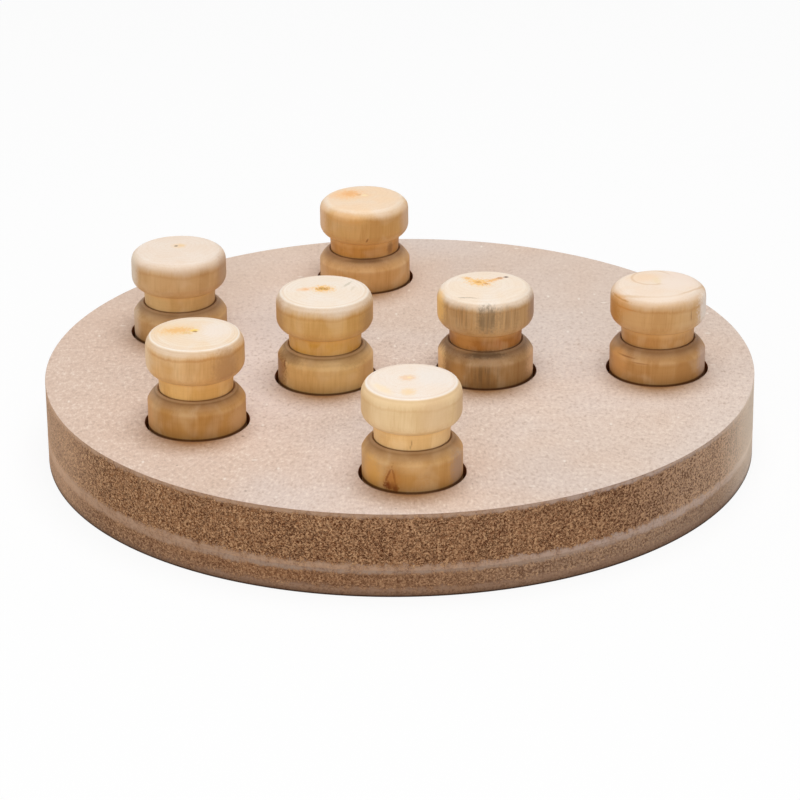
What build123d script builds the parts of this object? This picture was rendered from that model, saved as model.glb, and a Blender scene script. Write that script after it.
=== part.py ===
from build123d import *
import math
import os

# Dog puzzle feeder: a round board of two glued fibreboard discs. The upper disc is bored through
# with seven holes, the base disc closes them into wells, and a turned wooden peg stands loose in
# each well with room for a treat in the cup bored in its foot. Millimetres, +Z up, +X to the
# right and -Y to the front. The origin is the centre of the underside.

# ---- boards ----
board_diameter = 310.0
well_board_thickness = 25.0
base_board_thickness = 12.0
board_edge_ease = 0.5  # broken arris round the outer edge of each board
well_mouth_ease = 0.4  # broken arris round the mouth of each well

# ---- peg, the body that stands in the well ----
body_diameter = 41.5
well_clearance = 1.4  # radial gap between a body and the wall of its well
body_proud = 15.2  # how far the body's crest stands above the board
shoulder_radius = 12.0  # rounding from a ridge round the body's side up to its crest
shoulder_lean = 26.0  # degrees by which that rounding already leans in where it leaves the ridge
foot_chamfer = 1.5

# ---- peg, the neck between body and head ----
neck_foot_diameter = 31.2
neck_top_diameter = 32.0
neck_length = 7.2
quirk_depth = 0.5  # fine groove turned round the foot of the neck
quirk_width = 0.8
lip_width = 0.5  # flat ledge where the head's underside meets the neck

# ---- peg, the head ----
head_diameter = 41.8
head_length = 17.6
under_radius = 5.6  # rounding of the head's underside
rim_radius = 7.0  # rounding of the head's upper edge
rim_turn = 46.0  # degrees of that rounding, which ends in a crease round the face
face_rise = 0.8  # the face is very slightly domed

# ---- peg, the treat cup in its foot ----
cup_diameter = 26.0
cup_depth = 10.0
cup_mouth_ease = 0.6

# ---- marking-out ----
# How far in from the board's edge the axis of each outer well is, and how far from the centre the
# axis of each inner one.
front_inset = 41.4
left_inset = 50.9
back_left_inset = 47.9
back_inset = 48.1
right_inset = 42.4
inner_left_distance = 34.2
inner_right_distance = 38.3

# The pegs are turned by hand, so they differ by a few steps of this size.
turning_step = 0.1

board_radius = board_diameter / 2
well_radius = body_diameter / 2 + well_clearance
board_top = base_board_thickness + well_board_thickness

# For each peg: the distance of its axis from the centre, its bearing in degrees from +X round to
# +Y, and by how many turning steps it is longer, and fuller in the head, than the sizes above.
peg_places = {
    "front_peg": (board_radius - front_inset, -87.6, 8, -4),
    "left_peg": (board_radius - left_inset, -145.6, 3, 0),
    "back_left_peg": (board_radius - back_left_inset, 156.3, -8, 3),
    "back_peg": (board_radius - back_inset, 98.4, -4, -11),
    "right_peg": (board_radius - right_inset, -3.1, -7, -4),
    "inner_left_peg": (inner_left_distance, -160.1, 2, 2),
    "inner_right_peg": (inner_right_distance, -11.9, 0, 2),
}


def axis_place(name):
    """The x and y of a peg's axis, which is its well's axis too."""
    distance, bearing, _, _ = peg_places[name]
    return distance * math.cos(math.radians(bearing)), distance * math.sin(math.radians(bearing))


def disc(thickness, eased_top):
    """One board, standing on z = 0, with the arris of its free face broken."""
    board = extrude(Circle(board_radius), thickness)
    face_edges = board.edges().group_by(Axis.Z)[-1 if eased_top else 0]
    return chamfer(face_edges, board_edge_ease)


def make_base_board():
    """The plain lower disc, whose upper face is the floor of every well."""
    return disc(base_board_thickness, eased_top=False)


def make_well_board():
    """The upper disc with a through hole for each peg, its mouth eased."""
    cutter = extrude(Circle(well_radius), well_board_thickness)
    mouth = Pos(0, 0, well_board_thickness - well_mouth_ease) * Solid.make_cone(
        well_radius, well_radius + well_mouth_ease, well_mouth_ease
    )
    board = disc(well_board_thickness, eased_top=True)
    for name in peg_places:
        x, y = axis_place(name)
        board -= Pos(x, y, 0) * cutter
        board -= Pos(x, y, 0) * mouth
    return Pos(0, 0, base_board_thickness) * board


def arc_point(centre, radius, degrees):
    """The profile's point on the arc about a centre, at an angle up from the outward side."""
    angle = math.radians(degrees)
    return (centre[0] + radius * math.cos(angle), centre[1] + radius * math.sin(angle))


def turn_at(centre_r, radius, point_r):
    """The angle up from the outward side at which an arc reaches a distance from the peg's axis."""
    return math.degrees(math.acos((point_r - centre_r) / radius))


def make_peg(longer, fuller):
    """One peg, turned about its axis and standing on z = 0: body, neck and head in one piece."""
    body_radius = body_diameter / 2
    head_radius = (head_diameter + fuller) / 2
    neck_foot_radius = neck_foot_diameter / 2
    neck_top_radius = neck_top_diameter / 2

    crest = well_board_thickness + body_proud + longer
    head_foot = crest + neck_length
    face_edge = head_foot + head_length - face_rise

    # body: foot chamfer, upright side up to the ridge, shoulder rounded up to the quirk at the neck
    shoulder_r = body_radius - shoulder_radius * math.cos(math.radians(shoulder_lean))
    shoulder_turn = turn_at(shoulder_r, shoulder_radius, neck_foot_radius + quirk_width)
    shoulder_centre = (shoulder_r, crest - shoulder_radius * math.sin(math.radians(shoulder_turn)))
    ridge = arc_point(shoulder_centre, shoulder_radius, shoulder_lean)
    shoulder_mid = arc_point(shoulder_centre, shoulder_radius, (shoulder_lean + shoulder_turn) / 2)
    shoulder_end = arc_point(shoulder_centre, shoulder_radius, shoulder_turn)

    # head: underside rounded out from the lip, upright side, rounded edge up to the crease
    lip_radius = neck_top_radius + lip_width
    under_turn = turn_at(head_radius - under_radius, under_radius, lip_radius)
    under_centre = (head_radius - under_radius, head_foot + under_radius * math.sin(math.radians(under_turn)))
    under_start = arc_point(under_centre, under_radius, -under_turn)
    under_mid = arc_point(under_centre, under_radius, -under_turn / 2)
    under_end = arc_point(under_centre, under_radius, 0)
    rim_centre = (head_radius - rim_radius, face_edge - rim_radius * math.sin(math.radians(rim_turn)))
    rim_start = arc_point(rim_centre, rim_radius, 0)
    rim_mid = arc_point(rim_centre, rim_radius, rim_turn / 2)
    rim_end = arc_point(rim_centre, rim_radius, rim_turn)

    # face: a shallow arc that rises to the axis
    face_radius = rim_end[0]
    face_top = (0, face_edge + face_rise)
    face_curve = (face_radius**2 + face_rise**2) / (2 * face_rise)
    half_way = face_radius / 2
    face_mid = (half_way, face_top[1] - face_curve + math.sqrt(face_curve**2 - half_way**2))

    with BuildPart() as turned:
        with BuildSketch(Plane.XZ):
            with BuildLine():
                Polyline((0, 0), (body_radius - foot_chamfer, 0), (body_radius, foot_chamfer), ridge)
                ThreePointArc(ridge, shoulder_mid, shoulder_end)
                Polyline(
                    shoulder_end,
                    (neck_foot_radius, crest - quirk_depth),
                    (neck_top_radius, head_foot),
                    under_start,
                )
                ThreePointArc(under_start, under_mid, under_end)
                Line(under_end, rim_start)
                ThreePointArc(rim_start, rim_mid, rim_end)
                ThreePointArc(rim_end, face_mid, face_top)
                Line(face_top, (0, 0))
            make_face()
        revolve(axis=Axis.Z)
    cup = extrude(Circle(cup_diameter / 2), cup_depth)
    mouth = Solid.make_cone(cup_diameter / 2 + cup_mouth_ease, cup_diameter / 2, cup_mouth_ease)
    return turned.part - cup - mouth


def main():
    parts = {"base_board": make_base_board(), "well_board": make_well_board()}
    for name, (_, _, longer, fuller) in peg_places.items():
        x, y = axis_place(name)
        peg = make_peg(longer * turning_step, fuller * turning_step)
        parts[name] = Pos(x, y, base_board_thickness) * peg
    os.makedirs("parts", exist_ok=True)
    for name, shape in parts.items():
        export_step(shape, f"parts/{name}.step")


if __name__ == "__main__":
    main()
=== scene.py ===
"""A round dog puzzle feeder: two glued fibreboard discs with seven wells, and a turned peg in each.

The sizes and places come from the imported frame. The surfaces are numpy grids and turned profiles,
and every finish is a node material worked out from the piece's own coordinates in millimetres.
"""

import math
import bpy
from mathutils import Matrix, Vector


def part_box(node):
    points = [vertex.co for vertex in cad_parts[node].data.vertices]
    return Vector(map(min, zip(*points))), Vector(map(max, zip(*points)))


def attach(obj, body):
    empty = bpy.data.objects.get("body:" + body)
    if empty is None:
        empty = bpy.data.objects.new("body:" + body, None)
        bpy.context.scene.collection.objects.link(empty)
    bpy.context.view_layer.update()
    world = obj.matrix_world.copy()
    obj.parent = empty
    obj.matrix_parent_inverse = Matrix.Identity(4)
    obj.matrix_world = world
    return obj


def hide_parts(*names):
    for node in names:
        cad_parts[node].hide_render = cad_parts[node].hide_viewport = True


bl_info = {
    "name": "Dog Puzzle Feeder",
    "version": (1, 0, 0),
    "blender": (4, 5, 0),
    "location": "View3D > Sidebar > Puzzle Feeder",
    "description": "Makes a round fibreboard puzzle board with turned wooden pegs",
    "category": "Add Mesh",
}

from dataclasses import dataclass

import bmesh
import bpy
import numpy as np
from bpy.props import FloatProperty, FloatVectorProperty, PointerProperty
from mathutils import Matrix, Vector
from mathutils.geometry import delaunay_2d_cdt

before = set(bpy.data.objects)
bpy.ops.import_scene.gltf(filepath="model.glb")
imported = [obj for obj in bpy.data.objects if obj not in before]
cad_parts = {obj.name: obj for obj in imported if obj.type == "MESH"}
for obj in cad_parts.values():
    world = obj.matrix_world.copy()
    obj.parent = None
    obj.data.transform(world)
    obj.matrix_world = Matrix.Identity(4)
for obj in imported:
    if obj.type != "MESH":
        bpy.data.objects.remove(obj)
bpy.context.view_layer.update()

MM = 0.001
PEG_NAMES = [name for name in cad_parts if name.endswith("_peg")]


def cad_points(node):
    """All the corner points of a frame node, as an array of x, y, z rows."""
    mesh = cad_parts[node].data
    flat = np.zeros(len(mesh.vertices) * 3, np.float32)
    mesh.vertices.foreach_get("co", flat)
    return flat.reshape(-1, 3).astype(float)


def srgb(red, green, blue):
    """A colour written as 0 to 255 on screen, as the linear values that a shader takes."""
    linear = []
    for part in (red, green, blue):
        level = part / 255
        linear.append(level / 12.92 if level <= 0.04045 else ((level + 0.055) / 1.055) ** 2.4)
    return tuple(linear)


# ---------------------------------------------------------------------------
# Settings
# ---------------------------------------------------------------------------

BOARD_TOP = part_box("well_board")[1].z
JOINT_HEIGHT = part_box("base_board")[1].z
BOARD_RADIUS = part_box("well_board")[1].x
WELL_DEPTH = (BOARD_TOP - JOINT_HEIGHT) / MM


def length_property(name, description, millimetres):
    """A length that a user can change, shown in the scene's unit and given here in millimetres."""
    return FloatProperty(
        name=name, description=description, default=millimetres * MM, min=0.0, unit="LENGTH", precision=5
    )


def angle_property(name, description, degrees):
    """An angle that a user can change, given here in degrees."""
    return FloatProperty(name=name, description=description, default=math.radians(degrees), subtype="ANGLE")


def power_property(name, description, watts):
    """The power of a light panel, in watts."""
    return FloatProperty(name=name, description=description, default=watts, min=0.0, unit="POWER")


def colour_property(name, description, colour):
    """A surface colour that a user can change."""
    return FloatVectorProperty(
        name=name, description=description, default=colour, min=0.0, max=1.0, size=3, subtype="COLOR"
    )


class FeederBoard(bpy.types.PropertyGroup):
    """Sizes and colours of the two fibreboard discs."""

    radius: length_property("Radius", "Radius of both discs", BOARD_RADIUS / MM)
    arris: length_property("Arris", "Broken corner round each disc's outer edge", 0.5)
    mouth_ease: length_property("Mouth ease", "Broken corner round each well's mouth", 0.4)
    well_clearance: length_property("Well clearance", "Gap between a peg and its well's wall", 1.4)
    saw_relief: length_property("Saw relief", "Depth of the marks that sawing left on the rim", 0.1)
    face_colour: colour_property("Face", "Sanded face of the board", srgb(223, 207, 197))
    face_warm_colour: colour_property("Warm face", "Warmer areas of the face", srgb(223, 200, 183))
    core_colour: colour_property("Core", "Sawn core of the board", srgb(140, 95, 64))
    core_warm_colour: colour_property("Warm core", "Sawn core at the left", srgb(140, 92, 55))
    # painted sheen where the rim turns away at both sides
    core_pale_sheen_colour: colour_property("Pale core", "Sawn core at both sides", srgb(230, 194, 164))
    core_dark_colour: colour_property("Core pits", "Pits between the fibres of the core", srgb(78, 38, 14))
    core_light_colour: colour_property("Core fibres", "Pale torn fibres in the core", srgb(217, 172, 129))
    skin_colour: colour_property("Skin", "Hard skin where the rim cuts it", srgb(180, 146, 120))
    # painted sheen that greys the skin towards the right
    skin_grey_sheen_colour: colour_property("Grey skin", "The skin towards the right", srgb(184, 161, 149))
    skin_dull_colour: colour_property("Dull skin", "The base disc's skin at the front", srgb(164, 138, 119))
    foot_colour: colour_property("Foot", "The lower part of the base disc's rim", srgb(154, 122, 99))
    # the next two are painted sheen at the rim's ends, where it is seen edge-on
    edge_on_sheen_colour: colour_property("Edge-on rim", "The rim's right end", srgb(252, 230, 208))
    edge_on_warm_sheen_colour: colour_property("Warm edge-on rim", "The rim's left end", srgb(236, 193, 158))


class FeederPeg(bpy.types.PropertyGroup):
    """Sizes that all seven turned pegs share."""

    body_radius: length_property("Body radius", "Radius of the body that stands in the well", 20.75)
    foot_chamfer: length_property("Foot chamfer", "Chamfer round the foot", 1.5)
    shoulder_radius: length_property("Shoulder", "Rounding from the body's side to its crest", 12.0)
    shoulder_lean: angle_property("Shoulder lean", "Lean of the shoulder where it leaves the side", 26.0)
    neck_foot_radius: length_property("Neck foot", "Radius of the neck at the body", 15.6)
    neck_top_radius: length_property("Neck top", "Radius of the neck at the head", 16.0)
    neck_length: length_property("Neck length", "Height of the neck", 7.2)
    quirk_depth: length_property("Quirk depth", "Depth of the fine groove at the neck's foot", 0.5)
    quirk_width: length_property("Quirk width", "Width of that groove", 0.8)
    lip_width: length_property("Lip", "Ledge where the head's underside meets the neck", 0.5)
    head_length: length_property("Head length", "Height of the head", 17.6)
    under_radius: length_property("Underside", "Rounding of the head's underside", 5.6)
    rim_radius: length_property("Rim", "Rounding of the head's upper edge", 7.0)
    rim_turn: angle_property("Rim turn", "Angle of that rounding, which ends in a crease", 46.0)
    face_rise: length_property("Face rise", "How far the face is domed", 0.8)
    cup_radius: length_property("Cup radius", "Radius of the treat cup in the foot", 13.0)
    cup_depth: length_property("Cup depth", "Depth of the treat cup", 10.0)
    cup_ease: length_property("Cup ease", "Broken corner round the cup's mouth", 0.6)


SENSOR_WIDTH = 36.0


class FeederStage(bpy.types.PropertyGroup):
    """The camera, the lights and the floor."""

    lens: FloatProperty(
        name="Focal length",
        description=f"In millimetres, on a sensor {SENSOR_WIDTH:.0f} mm wide",
        default=161.117,
        unit="CAMERA",
    )
    camera_back: length_property("Camera back", "How far in front of the board the camera stands", 1448.41)
    camera_height: length_property("Camera height", "How high the camera is above the floor", 644.72)
    camera_pitch: angle_property("Pitch", "How far the camera looks down", 23.3377)
    camera_roll: angle_property("Roll", "How far the camera leans", -0.6363)
    sky_level: FloatProperty(name="Sky level", description="Light from the surroundings", default=0.27)
    overhead_power: power_property("Overhead power", "Power of the panel overhead", 11.3)
    front_power: power_property("Front power", "Power of the panel in front", 5.2)
    left_power: power_property("Left power", "Power of the panel at the left", 1.6)


# ---------------------------------------------------------------------------
# Shader maths
# ---------------------------------------------------------------------------


class Wire:
    """A node socket in a material. Arithmetic on it adds Math nodes, and node() adds any other node."""

    def __init__(self, tree, socket=None):
        self.tree = tree
        self.socket = socket

    def node(self, kind, settings=None, sockets=None, out=0):
        """Adds a node of a kind, sets it up, fills or links its sockets and returns one output."""
        made = self.tree.nodes.new(kind)
        for name, value in (settings or {}).items():
            setattr(made, name, value)
        for name, value in (sockets or {}).items():
            if isinstance(value, Wire):
                self.tree.links.new(value.socket, made.inputs[name])
            else:
                made.inputs[name].default_value = value
        return Wire(self.tree, made.outputs[out]) if made.outputs else None

    def maths(self, operation, first, second):
        """One Math node."""
        return self.node("ShaderNodeMath", {"operation": operation}, {0: first, 1: second})

    def __add__(self, other):
        return self.maths("ADD", self, other)

    def __radd__(self, other):
        return self.maths("ADD", other, self)

    def __sub__(self, other):
        return self.maths("SUBTRACT", self, other)

    def __rsub__(self, other):
        return self.maths("SUBTRACT", other, self)

    def __mul__(self, other):
        return self.maths("MULTIPLY", self, other)

    def __rmul__(self, other):
        return self.maths("MULTIPLY", other, self)

    def __truediv__(self, other):
        return self.maths("DIVIDE", self, other)

    def __pow__(self, other):
        return self.maths("POWER", self, other)

    def __abs__(self):
        return self.maths("ABSOLUTE", self, 0.0)


def larger(first, second):
    """The larger of two values."""
    return first.maths("MAXIMUM", first, second)


def smaller(first, second):
    """The smaller of two values."""
    return first.maths("MINIMUM", first, second)


def step(value, low, high):
    """A smooth step of a value: 0 at low and before, 1 at high and after. Low may be above high."""
    span = {0: value, 1: low, 2: high, 3: 0.0, 4: 1.0}
    return value.node("ShaderNodeMapRange", {"interpolation_type": "SMOOTHSTEP"}, span)


def between(value, start, full, fade, end):
    """1 while a value is from full to fade, falling smoothly to 0 at start and at end."""
    return step(value, start, full) * step(value, end, fade)


def blend(factor, first, second, mode="MIX"):
    """A colour between two colours, each a wire or a linear colour."""
    sockets = {0: factor}
    for index, colour in ((6, first), (7, second)):
        sockets[index] = colour if isinstance(colour, Wire) else (*colour, 1.0)
    return factor.node("ShaderNodeMix", {"data_type": "RGBA", "blend_type": mode}, sockets, out=2)


def darker(factor, colour, tint):
    """A colour multiplied by a tint, as far as the factor says."""
    return blend(factor, colour, tint, "MULTIPLY")


def scaled(vector, x, y, z):
    """A vector with each part multiplied by its own factor."""
    return vector.node("ShaderNodeVectorMath", {"operation": "MULTIPLY"}, {0: vector, 1: (x, y, z)})


def noise(vector, scale, detail=2.0, roughness=0.5, distortion=0.0):
    """Blender's noise, about 0.5, whose features are about 1 / scale across."""
    sockets = {"Vector": vector, "Scale": scale, "Detail": detail, "Roughness": roughness}
    sockets["Distortion"] = distortion
    return vector.node("ShaderNodeTexNoise", {}, sockets)


def distance(point, place):
    """How far a point is from a place."""
    return point.node("ShaderNodeVectorMath", {"operation": "DISTANCE"}, {0: point, 1: place}, out=1)


def parts(vector):
    """The x, y and z of a vector as three wires."""
    split = vector.node("ShaderNodeSeparateXYZ", {}, {0: vector})
    return [Wire(vector.tree, split.socket.node.outputs[index]) for index in range(3)]


def local_millimetres(tree, origin=(0.0, 0.0, 0.0)):
    """The surface point in millimetres from an origin, from the piece's own coordinates."""
    start = Wire(tree)
    coordinates = start.node("ShaderNodeTexCoord", out=3)
    moved = start.node("ShaderNodeVectorMath", {"operation": "SUBTRACT"}, {0: coordinates, 1: origin})
    return scaled(moved, 1 / MM, 1 / MM, 1 / MM)


def new_material(name):
    """An empty node material, with its tree."""
    material = bpy.data.materials.new(name)
    material.use_nodes = True
    material.node_tree.nodes.clear()
    return material, material.node_tree


def finish_material(tree, colour, roughness, height, depth, specular):
    """Joins a colour, a roughness and a relief height to a Principled shader.

    The relief is a depth of so many millimetres for a height of 1.
    """
    start = Wire(tree)
    relief = {"Strength": 1.0, "Distance": depth * MM, "Height": height}
    surface = {
        "Base Color": colour,
        "Roughness": roughness,
        "Specular IOR Level": specular,
        "Normal": start.node("ShaderNodeBump", {}, relief),
    }
    shader = start.node("ShaderNodeBsdfPrincipled", {}, surface)
    start.node("ShaderNodeOutputMaterial", {}, {"Surface": shader})


# ---------------------------------------------------------------------------
# Fibreboard
# ---------------------------------------------------------------------------


def spots(vector, cell, radius, share, stretch=(1.0, 1.0, 1.0)):
    """Scattered soft spots: one in a share of the cells of a Voronoi pattern, each of a radius."""
    stretched = scaled(vector, *stretch)
    settings = {"feature": "F1", "voronoi_dimensions": "3D"}
    near = vector.node("ShaderNodeTexVoronoi", settings, {"Vector": stretched, "Scale": 1 / cell})
    chance = Wire(vector.tree, near.socket.node.outputs["Color"])
    picked = step(parts(chance)[0], 1 - share, 1 - share + 0.02)
    return picked * step(near, radius / cell, 0.4 * radius / cell)


SHADE_HALO_SHIFT = (-0.8, -14.0)  # the ring of painted shade lies towards the front of its well, in millimetres
SHADE_HALO_REACH = (7.0, -12.5)  # where it starts and is full, counted outwards from the well's radius
NO_WELL = 99.0  # stands for the distance to the nearest well on a disc that has none
LIGHT_PATCH = ((-56.0, 3.0), (42.0, 108.0))  # middle and half sizes of the face's lightest part
WALL_REACH = (140.0, 145.0)  # walls nearer to the middle than this are bored, and further out sawn

# How the two discs' rims differ: the thickness of the lower and the upper skin, in millimetres, how
# strongly the core is speckled, and how far painted sheen pales its left end, its skins' ends and its right
# end.
UPPER_RIM = {"skins": (2.2, 1.7), "speckle": 1.0, "left_sheen": 0.45, "skin_sheen": 0.4, "edge_on": 0.98}
BASE_RIM = {"skins": (4.2, 1.4), "speckle": 0.62, "left_sheen": 0.35, "skin_sheen": 0.25, "edge_on": 0.8}


def around_wells(point, centres, well_radius, top):
    """How near the face is to a well's front, and how far it is beyond the nearest well's wall.

    The first sets where shade is painted: it is 1 at the front of the well's lip and falls evenly to 0
    further out.
    """
    z = parts(point)[2]
    ring, gap = z * 0.0, z * 0.0 + NO_WELL
    for x, y in centres:
        away = distance(point, (x + SHADE_HALO_SHIFT[0], y + SHADE_HALO_SHIFT[1], top))
        span = {0: away, 1: well_radius + SHADE_HALO_REACH[0], 2: well_radius + SHADE_HALO_REACH[1], 3: 0.0, 4: 1.0}
        near = away.node("ShaderNodeMapRange", {"interpolation_type": "LINEAR"}, span)
        ring = larger(ring, near)
        gap = smaller(gap, distance(point, (x, y, top)) - well_radius)
    return ring, gap


def face_tone(point, board):
    """The face's broad tones, before its speckle.

    They drift slowly from cool to warm. The face is duller at the right's two corners and at the
    front left, and lightest in a long patch left of the middle.
    """
    x, y, _ = parts(point)
    drift = noise(point, 0.013) - x * 0.0016
    tone = blend(step(drift, 0.34, 0.66), board.face_colour, board.face_warm_colour)
    tone = blend(step(x, 30.0, 130.0) * 0.2, tone, srgb(225, 213, 205))
    corners = step(x + abs(y) * 0.5, 70.0, 150.0) * (step(y, -20.0, 60.0) * 0.55 + 0.45)
    tone = darker(corners, tone, (0.985, 0.93, 0.875))
    (patch_x, patch_y), (half_x, half_y) = LIGHT_PATCH
    from_patch = (((x - patch_x) / half_x) ** 2 + ((y - patch_y) / half_y) ** 2) ** 0.5
    tone = blend(step(from_patch, 1.0, 0.3) * 0.95, tone, srgb(233, 217, 208))
    return darker(step(x + y * 0.6, 50.0, -120.0), tone, (0.95, 0.925, 0.915))


def fibreboard_face(point, board, ring, gap):
    """Colour and relief of the sanded face: fibre speckle, and pale and dark flecks.

    Painted shade browns it softly before each well, and a thin line of painted shade lies at the front
    of the mouth, with brown specks at the front of the lip. The speckle is fainter towards the back.
    """
    y = parts(point)[1]
    matted = scaled(point, 1.0, 0.6, 1.0)
    mottle = noise(point, 0.12, 3.0, 0.6)
    speckle = noise(matted, 0.62, 3.0, 0.62, 0.3)
    fine = noise(matted, 1.25, 2.0, 0.6)
    tone = (speckle - 0.5) * 0.68 + (mottle - 0.5) * 0.2 + (fine - 0.5) * 0.34
    tone = tone * (1 - step(y, -10.0, 110.0) * 0.35)
    colour = blend(step(tone, -0.02, 0.26), face_tone(point, board), srgb(240, 224, 210))
    colour = blend(step(tone, 0.02, -0.26), colour, srgb(192, 168, 152))
    pale = spots(point, 7.0, 0.8, 0.4, (1.0, 0.5, 1.0)) + spots(point, 9.0, 0.9, 0.4, (0.45, 1.0, 1.0))
    dark = spots(point, 15.0, 0.6, 0.35) + spots(point, 31.0, 1.0, 0.3)
    colour = blend(pale * 0.6, colour, srgb(248, 238, 228))
    colour = blend(dark * 0.55, colour, srgb(124, 100, 84))
    # painted shade before each well, browned as the pegs' shadow is
    colour = darker(ring**1.7, colour, (0.51, 0.335, 0.16))
    lip = step(ring, 0.92, 1.0) * step(speckle + (fine - 0.5), 0.36, 0.60)
    colour = blend(lip * 0.5, colour, srgb(146, 104, 74))
    # a thin line of painted shade at the front of each well's mouth
    mouth_shade_line = step(gap, 1.2, 0.5) * step(ring, 0.4, 0.8)
    colour = blend(mouth_shade_line * 0.8, colour, srgb(84, 50, 28))
    return colour, speckle * 0.5 + fine * 0.3 - dark * 0.4


def thin_lines(value):
    """1 where a noise crosses 0.5 and 0 a little beyond, which draws thin curling lines."""
    return step(abs(value - 0.5), 0.05, 0.0)


def core_tone(x, z, board, sides, is_base):
    """The core's broad tones: warm at the left, pale at both sides with painted sheen, and the base's
    greyer.
    """
    core = blend(step(x, -140.0, 60.0), board.core_warm_colour, board.core_colour)
    core = blend(sides, core, board.core_pale_sheen_colour)
    if is_base:
        core = blend(step(x, -40.0, -110.0) * 0.4, core, board.foot_colour)
        core = blend(step(x, -90.0, 90.0) * 0.6, core, srgb(152, 122, 98))
        core = blend(step(x, 20.0, 70.0) * 0.5, core, srgb(176, 148, 126))
        core = blend(step(z, 7.0, 4.5) * step(x, 20.0, -40.0) * 0.3, core, board.foot_colour)
    return core


def skin_tone(x, z, board, thickness, is_base):
    """The two hard skins' broad tones: greyer to the right with painted sheen, and the base's duller in
    front.
    """
    skin = blend(step(x, -20.0, 130.0), board.skin_colour, board.skin_grey_sheen_colour)
    if is_base:
        skin = blend(step(abs(x), 50.0, 120.0), board.skin_dull_colour, skin)
        skin = blend(step(z, thickness + 2.5, thickness + 0.5), skin, board.foot_colour)
    return skin


def base_foot_shade(colour, x, z, grain):
    """The base disc's rim with painted shade, darker towards the table and most at its very foot."""
    colour = darker(step(z, 10.0, 2.0) * step(x, 60.0, 140.0), colour, (0.86, 0.87, 0.90))
    colour = blend(step(z + (grain - 0.5) * 1.2, 3.4, 0.2) * 0.62, colour, srgb(82, 54, 36))
    return blend(step(z, 1.1, 0.55) * 0.8, colour, srgb(36, 24, 16))


def fibreboard_rim(point, board, low, high, rim):
    """Colour and relief of the sawn rim between two heights.

    The core is speckled with pits and torn fibres, and gives way raggedly to the two skins. Painted
    sheen makes the rim paler where it turns away at both sides, and greyer towards the right.
    """
    x, _, z = parts(point)
    is_base = low == 0
    grain = noise(point, 1.12, 1.0, 0.6, 0.5)
    patch = noise(point, 0.05)
    blotch = noise(point, 0.22, 2.0, 0.6)
    saw = noise(scaled(point, 1.0, 1.0, 0.09), 0.5, 3.0, 0.65, 0.3)
    layers = noise(scaled(point, 0.05, 0.05, 1.0), 0.5, 2.0, 0.6, 0.3)
    curl = noise(point, 0.70, 1.0, 0.5, 1.4)
    curl_across = noise(scaled(point, 1.0, 1.0, 1.3), 0.9, 1.0, 0.5, 1.0)
    fibres = larger(thin_lines(curl), thin_lines(curl_across))

    skin_low, skin_high = rim["skins"]
    if is_base:
        skin_low = skin_low - step(x, -30.0, -130.0) * 2.4
        skin_high = skin_high + step(x, -10.0, -110.0) * 1.1
    ragged = (grain - 0.5) * 4.4 + (blotch - 0.5) * 4.4 + (saw - 0.5) * 2.2
    from_low = step(z - low - skin_low + ragged, -0.7, 0.7)
    from_high = step(high - z - skin_high + ragged * 0.55, -0.6, 0.8)
    core_mask = from_low * from_high

    # where the rim turns away at both ends; painted sheen makes it paler there
    right_end = step(x, 76.0, 158.0)
    left_end = step(x, -120.0, -158.0)
    sides = right_end + left_end * rim["left_sheen"]
    torn = step(grain, 0.55, 0.64) * 0.45 + fibres * 0.6
    pits = step(grain + (patch - 0.5) * 0.2 + (blotch - 0.5) * 0.1, 0.51, 0.40)
    contrast = rim["speckle"] * (1 - right_end * 0.4 + step(x, -80.0, -140.0) * 0.35)
    core = core_tone(x, z, board, sides, is_base)
    core = blend(pits * contrast, core, board.core_dark_colour)
    core = blend(torn * contrast, core, board.core_light_colour)

    skin = skin_tone(x, z, board, rim["skins"][0], is_base)
    skin = blend(step(blotch + (layers - 0.5) * 0.5, 0.4, 0.62) * 0.4, skin, core)
    skin = blend(sides * rim["skin_sheen"], skin, board.core_pale_sheen_colour)
    skin = blend(step(grain, 0.46, 0.3) * 0.25, skin, board.core_dark_colour)

    colour = blend(core_mask, skin, core)
    colour = blend(step(saw, 0.50, 0.30) * (core_mask * 0.14 + 0.08), colour, board.core_dark_colour)
    colour = blend(step(layers, 0.47, 0.3) * 0.16, colour, board.core_dark_colour)
    # painted sheen at both ends of the rim
    colour = blend(step(x, 132.0, 155.0) * rim["edge_on"], colour, board.edge_on_sheen_colour)
    colour = blend(left_end * 0.45, colour, board.edge_on_warm_sheen_colour)
    if is_base:
        colour = base_foot_shade(colour, x, z, grain)
    else:
        arris = board.arris / MM
        at_arris = step(z, high - 1.3 * arris, high - 0.8 * arris)
        colour = blend(at_arris * 0.15, colour, srgb(120, 92, 74))
    torn_height = grain * 1.3 + fibres * 0.25 - pits * 0.4
    return colour, core_mask * rim["speckle"] * torn_height + saw * 0.3


def bored_wall(point):
    """Colour and relief of a bored wall: dark core, scorched in rings by the cutter."""
    rings = noise(scaled(point, 0.0, 0.0, 1.0), 1.6)
    grain = noise(point, 1.05, 2.0, 0.65, 0.5)
    colour = blend(step(rings + (grain - 0.5), 0.3, 0.7), srgb(112, 66, 32), srgb(158, 100, 58))
    return colour, grain


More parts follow.
